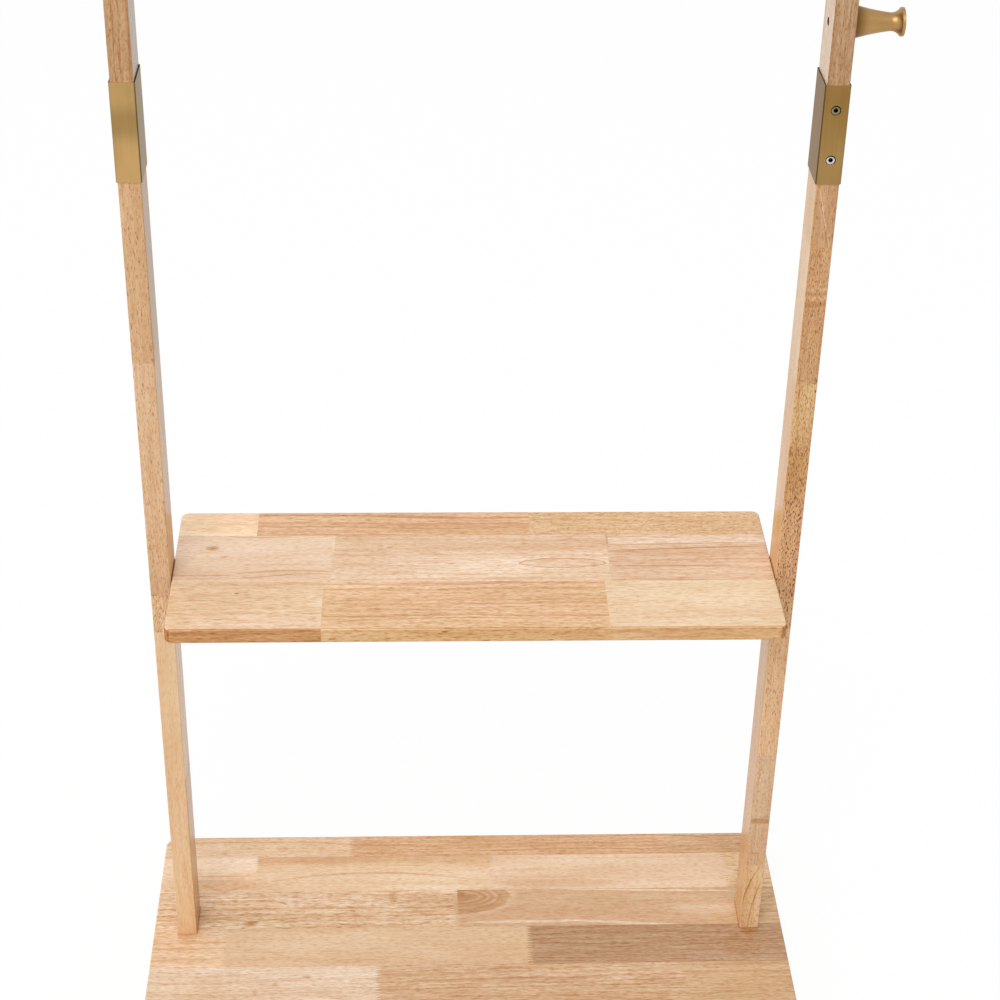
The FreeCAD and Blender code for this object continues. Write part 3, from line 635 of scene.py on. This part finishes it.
def floor_material():
    material, graph = new_material("floor")
    looked_at = seen(graph)
    grey = graph.math("MULTIPLY_ADD", looked_at, FLOOR_SEEN_GREY - FLOOR_GREY, FLOOR_GREY)
    matte = graph.node("BsdfDiffuse", {"Color": grey})
    white = graph.node("Emission", {"Color": WHITE, "Strength": 1.0})
    share = graph.math("MULTIPLY", looked_at, FLOOR_WHITE)
    shader = graph.node("MixShader", {0: share, 1: matte.outputs[0], 2: white.outputs[0]})
    graph.node("OutputMaterial", {"Surface": shader.outputs[0]})
    return material


def add_floor():
    half = FLOOR_SIZE / 2
    corners = [(-half, -half, 0.0), (half, -half, 0.0), (half, half, 0.0), (-half, half, 0.0)]
    mesh = bpy.data.meshes.new("floor")
    mesh.from_pydata(corners, [], [(0, 1, 2, 3)])
    mesh.materials.append(floor_material())
    floor = bpy.data.objects.new("floor", mesh)
    bpy.context.collection.objects.link(floor)


def add_surroundings():
    world = bpy.data.worlds.new("surroundings")
    world.use_nodes = True
    graph = Graph(world.node_tree)
    aside = graph.parts(graph.node("TexCoord").outputs["Generated"])[0]
    lit = graph.math("MULTIPLY_ADD", aside, -SURROUNDINGS_LEAN * SURROUNDINGS, SURROUNDINGS)
    strength = graph.pick(seen(graph), lit, 1.0)
    light = graph.node("Background", {"Color": WHITE, "Strength": strength})
    graph.node("OutputWorld", {"Surface": light.outputs[0]})
    bpy.context.scene.world = world


def add_lamp():
    data = bpy.data.lights.new("main_lamp", "AREA")
    data.shape = "DISK"
    data.size = LAMP_SIZE
    data.energy = LAMP_POWER
    lamp = bpy.data.objects.new("main_lamp", data)
    lamp.location = LAMP_PLACE
    lamp.rotation_euler = (LAMP_AIM - LAMP_PLACE).to_track_quat("-Z", "Y").to_euler()
    bpy.context.collection.objects.link(lamp)


def joint_share(graph, timber, along, across, deep, face, start, end):
    """The share of the way from start to end along the wood, which goes to and fro by the joints' teeth."""
    if timber.teeth == "across":
        wave = graph.math("PINGPONG", across, TOOTH_PITCH / 2)
    elif timber.teeth == "through":
        wave = graph.math("PINGPONG", graph.math("SUBTRACT", deep, face - TOOTH_PITCH / 4), TOOTH_PITCH / 2)
    else:
        wave = TOOTH_PITCH / 4
    jointed = graph.math("MULTIPLY_ADD", wave, 2 * TOOTH_LENGTH / TOOTH_PITCH, along)
    return graph.math("DIVIDE", graph.math("SUBTRACT", jointed, start), end - start)


def finish_strip(graph, share, blocks, start, end, number):
    """Tone, seed, figure and arch along one strip, whose blocks lie between start and end."""
    tones = []
    figures = []
    begun = 0.0
    for place, (block_end, tone, figure) in enumerate(blocks):
        seed = (SEED_STEP * (SEEDS_PER_STRIP * number + place + 1)) % 1.0
        tones.append((begun, linear(TONES[tone]) + (seed,)))
        figures.append((begun, FIGURES[figure]))
        if block_end is not None:
            begun = (block_end - start) / (end - start)
    return graph.steps(share, tones) + graph.steps(share, figures)


def lay_strips(graph, strips, share, start, end, across, edges):
    """Each point's tone, seed, figure and arch, the middle of its strip, and 1 on the seams."""
    middles = [(a + b) / 2 for a, b in zip(edges, edges[1:])]
    tone, seed, figure, arch = finish_strip(graph, share, strips[0][1], start, end, 0)
    middle = middles[0]
    seams = 0.0
    for number in range(1, len(strips)):
        past = graph.math("GREATER_THAN", across, edges[number])
        finish = finish_strip(graph, share, strips[number][1], start, end, number)
        tone = graph.mix(past, tone, finish[0])
        seed = graph.pick(past, seed, finish[1])
        figure = graph.mix(past, figure, finish[2])
        arch = graph.pick(past, arch, finish[3])
        middle = graph.math("MULTIPLY_ADD", past, middles[number] - middles[number - 1], middle)
        seams = graph.math("ADD", seams, graph.math("COMPARE", across, edges[number], SEAM_WIDTH))
    return tone, seed, figure, arch, middle, seams


def growth_lines(graph, spot, along, centred, deep, arch, half, taper):
    """A distance that grows from line to line. Lines run along the grain, straight or in arches."""
    wobble = graph.noise(spot, WOBBLE)
    ripple = graph.noise(spot, RIPPLE)
    straight = graph.total(centred, graph.times(deep, RING_TILT), graph.times(wobble, STRAIGHT_WOBBLE))
    bowed = graph.times(centred, centred, ARCH_RISE / half ** 2)
    arched = graph.total(bowed, graph.times(along, taper), graph.times(wobble, ARCHED_WOBBLE))
    return graph.math("MULTIPLY_ADD", ripple, RIPPLE_SHIFT, graph.pick(arch, straight, arched))


def draw_marks(graph, along, across, waver, ring, marks):
    """Growth lines that bulge round the marks, and how dark the marks are."""
    dark = 0.0
    for mark in marks:
        past = graph.math("SUBTRACT", along, mark.along)
        beside = graph.math("SUBTRACT", across, mark.across)
        if mark.lean:
            beside = graph.math("MULTIPLY_ADD", past, -mark.lean, beside)
        if mark.bow:
            beside = graph.math("MULTIPLY_ADD", graph.times(past, past), -mark.bow, beside)
        offset = graph.node("CombineXYZ", {
            0: graph.math("DIVIDE", past, mark.length),
            1: graph.math("DIVIDE", beside, mark.width),
        }).outputs[0]
        square = graph.math("MULTIPLY_ADD", waver, mark.ragged, graph.vector("DOT_PRODUCT", offset, offset))
        shown = 1.0
        for limit, test, place in ((mark.start, "GREATER_THAN", along), (mark.end, "LESS_THAN", along),
                                   (mark.low, "GREATER_THAN", across), (mark.high, "LESS_THAN", across)):
            if limit is not None:
                shown = graph.times(shown, graph.math(test, place, limit))
        if mark.rise:
            swell = graph.math("EXPONENT", graph.math("MULTIPLY", square, -0.5))
            ring = graph.math("MULTIPLY_ADD", graph.times(swell, shown), mark.rise, ring)
        depth = graph.span(square, 1.0, mark.core, 0.0, mark.dark)
        dark = graph.math("MULTIPLY_ADD", depth, shown, dark)
    return ring, dark


def contact_shade(graph, place):
    """1 on what lies within a hair's breadth of the uprights' boxes, seen from above, and 0 elsewhere."""
    near = 0.0
    parts = graph.parts(place)
    for node in LOWER_UPRIGHTS:
        low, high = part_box(node)
        outside = []
        for axis in range(2):
            offset = graph.away(parts[axis], (low[axis] + high[axis]) / 2)
            outside.append(graph.math("SUBTRACT", offset, (high[axis] - low[axis]) / 2))
        distance = graph.math("MAXIMUM", *outside)
        near = graph.math("MAXIMUM", near, graph.span(distance, CONTACT_WIDTH, 0.0))
    return near


def painted_hole_shade(graph, place, centre):
    """Painted deep shade inside a hole that runs along X."""
    flat = graph.vector("MULTIPLY", graph.vector("SUBTRACT", place, centre), (0.0, 1.0, 1.0))
    square = graph.vector("DOT_PRODUCT", flat, flat)
    return graph.times(graph.math("LESS_THAN", square, HOLE_RADIUS ** 2), HOLE_SHADE)


def rubberwood(name, timber):
    """Finger-jointed wood with a clear satin finish."""
    material, graph = new_material(name)
    low = dict(zip("XYZ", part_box(timber.nodes[0])[0]))
    high = dict(zip("XYZ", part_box(timber.nodes[-1])[1]))
    place = graph.place()
    parts = graph.parts(place)
    along, across, deep = (parts[axis] for axis in timber.axes)
    along_axis, across_axis, deep_axis = timber.axes

    start = low[along_axis] + TOOTH_LENGTH / 2
    end = high[along_axis] + TOOTH_LENGTH / 2
    share = joint_share(graph, timber, along, across, deep, low[deep_axis], start, end)
    edges = [low[across_axis]] + [strip_end for strip_end, blocks in timber.strips[:-1]] + [high[across_axis]]
    half = max(b - a for a, b in zip(edges, edges[1:])) / 2
    laid = lay_strips(graph, timber.strips, share, start, end, across, edges)
    tone, seed, figure, arch, middle, seams = laid
    lines, ticks, dots = list(graph.node("SeparateColor", {0: figure}).outputs)[:3]

    # Each block has wood of its own, so its grain starts elsewhere.
    centred = graph.math("SUBTRACT", across, middle)
    grain = graph.node("CombineXYZ", {0: along, 1: centred, 2: deep}).outputs[0]
    other = graph.node("TexWhiteNoise", {"W": seed}, noise_dimensions="1D").outputs["Color"]
    spot = graph.vector("MULTIPLY_ADD", other, GRAIN_SPREAD, grain)
    ring = growth_lines(graph, spot, along, centred, deep, arch, half, timber.taper)
    ring, marked = draw_marks(graph, along, across, graph.noise(spot, WAVERS), ring, timber.marks)
    turns = graph.math("MULTIPLY_ADD", seed, RING_SPREAD, graph.times(ring, RINGS))
    detail, roughness = RING_NOISE
    ring_noise = graph.node("TexNoise", {"W": turns, "Scale": 1.0, "Detail": detail, "Roughness": roughness},
                            noise_dimensions="1D")
    bands = graph.math("SUBTRACT", ring_noise.outputs["Fac"], 0.5)

    streak = graph.noise(spot, STREAKS, *STREAK_NOISE)
    fibre = graph.noise(spot, FIBRES, 1.0)
    tick = graph.span(graph.noise(spot, timber.ticks, 1.0), *TICK_SPAN)
    dot = graph.span(graph.noise(spot, DOTS, 1.0), *DOT_SPAN)
    pores = graph.math("MULTIPLY_ADD", tick, ticks, graph.times(dot, dots, DOT_SHARE))
    streak_stain = graph.math("MULTIPLY_ADD", lines, LINED_STREAK_STAIN, STREAK_STAIN)
    fibre_stain = graph.math("MULTIPLY_ADD", lines, LINED_FIBRE_STAIN, timber.fibre_stain)
    stain = graph.total(
        graph.times(graph.darker(bands), lines, RING_STAIN),
        graph.times(graph.darker(streak), streak_stain),
        graph.times(graph.darker(fibre), fibre_stain),
        graph.times(graph.noise(spot, CLOUDS), CLOUD_STAIN),
        graph.times(pores, PORE_STAIN),
        graph.times(seams, timber.seam_stain),
        marked,
    )
    gloss = WOOD_GLOSS
    # Painted shade where the uprights touch the board.
    if timber.painted_contact_shade:
        stain = graph.math("MULTIPLY_ADD", contact_shade(graph, place), timber.painted_contact_shade, stain)
    # Darker where not level; darker still where turned sideways: end grain, and painted shade on the corners.
    if timber.edge_darkening:
        facing = graph.facing()
        edge = graph.span(graph.math("ABSOLUTE", facing[2]), *EDGE_FACING)
        end_grain_and_corner_shade = graph.span(graph.math("ABSOLUTE", facing[0]), *END_FACING, 0.0, END_GRAIN_AND_CORNER_SHADE)
        stain = graph.total(stain, graph.times(edge, timber.edge_darkening), end_grain_and_corner_shade)
        gloss = graph.math("MULTIPLY_ADD", edge, -WOOD_GLOSS, WOOD_GLOSS)
    # Painted shade inside the bore for the hook's screw.
    if timber.hole:
        stain = graph.math("ADD", stain, painted_hole_shade(graph, place, timber.hole))

    left = graph.node("CombineColor", {i: graph.math("POWER", CLEAR[i], stain) for i in range(3)}).outputs[0]
    hue = graph.mix(graph.share(graph.noise(spot, DRIFTS), HUE_DRIFT), ROSY, GOLDEN)
    colour = graph.mix(1.0, graph.mix(1.0, tone, left, "MULTIPLY"), hue, "MULTIPLY")
    height = graph.math("MULTIPLY_ADD", streak, STREAK_RELIEF, graph.times(pores, PORE_RELIEF))
    graph.surface(
        Base_Color=colour,
        Roughness=graph.math("MULTIPLY_ADD", streak, WOOD_ROUGHNESS_SWING, WOOD_ROUGHNESS),
        IOR=WOOD_IOR,
        Specular_IOR_Level=gloss,
        Normal=graph.bump(height, WOOD_BUMP),
    )
    return material


def satin_brass(graph, kind, lighter=0.0):
    """Colour, roughness and normal of brass with a fine upright brush and slow drifts of tone."""
    light, dark = BRASS[kind]
    place = graph.place()
    streak = graph.noise(place, BRASS_STREAKS, *BRASS_STREAK_NOISE)
    cloud = graph.math("MULTIPLY_ADD", graph.noise(place, BRASS_CLOUDS), BRASS_CLOUD_SHARE, 0.5)
    drift = graph.total(cloud, graph.times(streak, BRASS_STREAK_SHARE))
    share = graph.math("ADD", drift, lighter, clamp=True)
    colour = graph.mix(share, opaque(dark), opaque(light))
    roughness = graph.math("MULTIPLY_ADD", streak, BRASS_ROUGHNESS_SWING, BRASS_ROUGHNESS)
    return colour, roughness, graph.bump(streak, BRASS_BUMP)


def turned_brass():
    material, graph = new_material("turned_brass")
    colour, roughness, normal = satin_brass(graph, "turned")
    graph.surface(Base_Color=colour, Roughness=roughness, Metallic=1.0, Normal=normal)
    return material


def hook_brass():
    """Turned brass, in shade where it meets the upright."""
    material, graph = new_material("hook_brass")
    colour, roughness, normal = satin_brass(graph, "turned")
    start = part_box("coat_hook")[0][0]
    shade = graph.span(graph.parts(graph.place())[0], start + HOOK_SHADE, start)
    colour = graph.mix(shade, colour, opaque(BRASS_SHADE))
    graph.surface(Base_Color=colour, Roughness=roughness, Metallic=1.0, Normal=normal)
    return material


def sleeve_brass(side):
    """Brass tube, with painted shade on its sides, its front corners and the gaps at its sides' top edges,
    and a painted highlight on the rim along the front.
    """
    material, graph = new_material(f"sleeve_brass_{side}")
    place = graph.parts(graph.place())
    # Painted light and shade: lighter lower down, with a darker band on the left sleeve.
    lighter = graph.span(place[2], *SLEEVE_LIGHT[side])
    if side == "left":
        off_band = graph.away(place[2], SLEEVE_BAND)
        band = graph.span(off_band, *SLEEVE_BAND_SPAN, 0.0, SLEEVE_BAND_DARK)
        lighter = graph.math("SUBTRACT", lighter, band)
    colour, roughness, normal = satin_brass(graph, side, lighter)
    low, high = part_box(f"upper_upright_{side}")
    beside = graph.away(place[0], (low[0] + high[0]) / 2)
    half = (high[0] - low[0]) / 2
    inward = 1.0 if side == "left" else -1.0
    facing = graph.facing("True Normal")
    # Painted shade on sides and front corners; painted highlight on the front's top edge, shade in side gaps.
    shaded_flank = graph.span(graph.math("ABSOLUTE", facing[0]), *FLANK_FACING)
    shaded_corner = graph.span(graph.times(facing[0], facing[1], -inward), *CORNER_FACING)
    top = graph.math("GREATER_THAN", facing[2], TOP_FACING)
    rim = graph.mix(graph.math("GREATER_THAN", beside, half), opaque(BRASS_RIM_HIGHLIGHT), opaque(BRASS_GAP_SHADE))
    colour = graph.mix(graph.times(shaded_flank, FLANK_SHADE_SHARE), colour, opaque(BRASS_SIDE_SHADE[side]))
    colour = graph.mix(graph.times(shaded_corner, CORNER_SHADE_SHARE), colour, opaque(BRASS_GAP_SHADE))
    colour = graph.mix(top, colour, rim)
    graph.surface(Base_Color=colour, Roughness=roughness, Metallic=1.0, Normal=normal)
    return material


def zinc_skin(graph):
    grain = graph.noise(graph.place(), ZINC_GRAIN, FINE_DETAIL)
    roughness = graph.math("MULTIPLY_ADD", grain, ZINC_ROUGHNESS_SWING, ZINC_ROUGHNESS)
    return graph.tones(grain, ZINC_CONTRAST, ZINC_DARK, ZINC_LIGHT), roughness


def zinc_steel():
    """Zinc-plated steel, with shade in its sockets and corners."""
    material, graph = new_material("zinc_steel")
    skin, roughness = zinc_skin(graph)
    openness = graph.node("AmbientOcclusion", {"Distance": SHADE_REACH}, samples=SHADE_SAMPLES)
    bright = graph.span(openness.outputs["AO"], *SHADE_SPAN)
    colour = graph.mix(bright, opaque(ZINC_SHADE), skin)
    graph.surface(Base_Color=colour, Roughness=roughness, Metallic=1.0)
    return material


def screw_zinc(side):
    """Zinc-plated steel with painted shade in its socket and under the upper rim of the sleeve's hole, and a
    darker, browner tint on the upper screw.
    """
    material, graph = new_material(f"screw_zinc_{side}")
    skin, roughness = zinc_skin(graph)
    low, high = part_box(f"sleeve_screws_{side}")
    place = graph.parts(graph.place())
    beside = graph.math("SUBTRACT", place[0], (low[0] + high[0]) / 2)
    upper = graph.math("GREATER_THAN", place[2], sum(SCREW_HEIGHTS) / 2)
    above = graph.math("SUBTRACT", place[2], graph.pick(upper, *SCREW_HEIGHTS))
    lifted = graph.math("ADD", above, BARE_DROP)
    across = graph.times(beside, beside)
    out = graph.math("SQRT", graph.math("MULTIPLY_ADD", above, above, across))
    off = graph.math("SQRT", graph.math("MULTIPLY_ADD", lifted, lifted, across))
    socket = graph.span(out, SOCKET_RADIUS + SOCKET_BLUR, SOCKET_RADIUS)
    rim = graph.span(off, BARE_RADIUS, BARE_RADIUS + BARE_BLUR)
    skin = graph.mix(upper, skin, opaque(UPPER_SCREW_TINT))
    colour = graph.mix(graph.math("MAXIMUM", socket, rim), skin, opaque(ZINC_SHADE))
    graph.surface(Base_Color=colour, Roughness=roughness, Metallic=1.0)
    return material


def foot_rubber():
    material, graph = new_material("foot_rubber")
    speckle = graph.noise(graph.place(), RUBBER_GRAIN, FINE_DETAIL)
    graph.surface(
        Base_Color=graph.tones(speckle, RUBBER_CONTRAST, RUBBER_DARK, RUBBER_LIGHT),
        Roughness=graph.math("MULTIPLY_ADD", speckle, RUBBER_ROUGHNESS_SWING, RUBBER_ROUGHNESS),
        Normal=graph.bump(speckle, ROUGH_BUMP),
    )
    return material


def dowel_wood():
    material, graph = new_material("dowel_wood")
    fibre = graph.noise(graph.place(), DOWEL_FIBRES, *STREAK_NOISE)
    graph.surface(
        Base_Color=graph.tones(fibre, DOWEL_CONTRAST, DOWEL_DARK, DOWEL_LIGHT),
        Roughness=DOWEL_ROUGHNESS,
        Normal=graph.bump(fibre, ROUGH_BUMP),
    )
    return material


def board_wood(name, node, strips, marks, teeth, painted_contact_shade, edge_darkening=0.0):
    timber = Timber([node], "XYZ", strips, marks, teeth, painted_contact_shade=painted_contact_shade, edge_darkening=edge_darkening)
    return {node: rubberwood(name, timber)}


def batten_wood(side, strips, marks, hole=()):
    pair = [f"lower_upright_{side}", f"upper_upright_{side}"]
    timber = Timber(pair, "ZXY", strips, marks, "through", BATTEN_TAPER, seam_stain=0.0,
                    fibre_stain=BATTEN_FIBRE_STAIN, ticks=BATTEN_TICKS, hole=hole)
    return dict.fromkeys(pair, rubberwood(f"{side}_wood", timber))


def dress():
    """Give every node the finish of its own, or else that of its slot."""
    left_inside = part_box("lower_upright_left")[1][0] - SKIN
    right_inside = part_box("lower_upright_right")[0][0] + SKIN
    hook_low, hook_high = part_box("coat_hook")
    hole = (0.0, (hook_low[1] + hook_high[1]) / 2, (hook_low[2] + hook_high[2]) / 2)
    own = {
        **board_wood("base_wood", "base_board", BASE_STRIPS, BASE_MARKS, "across", BASE_CONTACT_SHADE),
        **board_wood("shelf_wood", "shelf_board", SHELF_STRIPS, SHELF_MARKS, "none", SHELF_CONTACT_SHADE,
                     SHELF_EDGE_DARKENING),
        **batten_wood("left", [(left_inside, LEFT_BLOCKS), (None, LEFT_INNER)], LEFT_MARKS),
        **batten_wood("right", [(right_inside, RIGHT_INNER), (None, RIGHT_BLOCKS)], RIGHT_MARKS, hole),
        "coat_hook": hook_brass(),
    }
    for side in ("left", "right"):
        own[f"sleeve_{side}"] = sleeve_brass(side)
        own[f"sleeve_screws_{side}"] = screw_zinc(side)
    slots = {"dowel_wood": dowel_wood(), "satin_brass": turned_brass(), "zinc_steel": zinc_steel(),
             "foot_rubber": foot_rubber()}
    for part in frame["record"]["subparts"]:
        node = frame["nodes"][part["node"]]
        node.data.materials.clear()
        node.data.materials.append(own.get(part["node"]) or slots[part["material_slot"]])


bpy.context.scene.view_settings.view_transform = "Standard"
add_camera()
add_floor()
add_surroundings()
add_lamp()
dress()
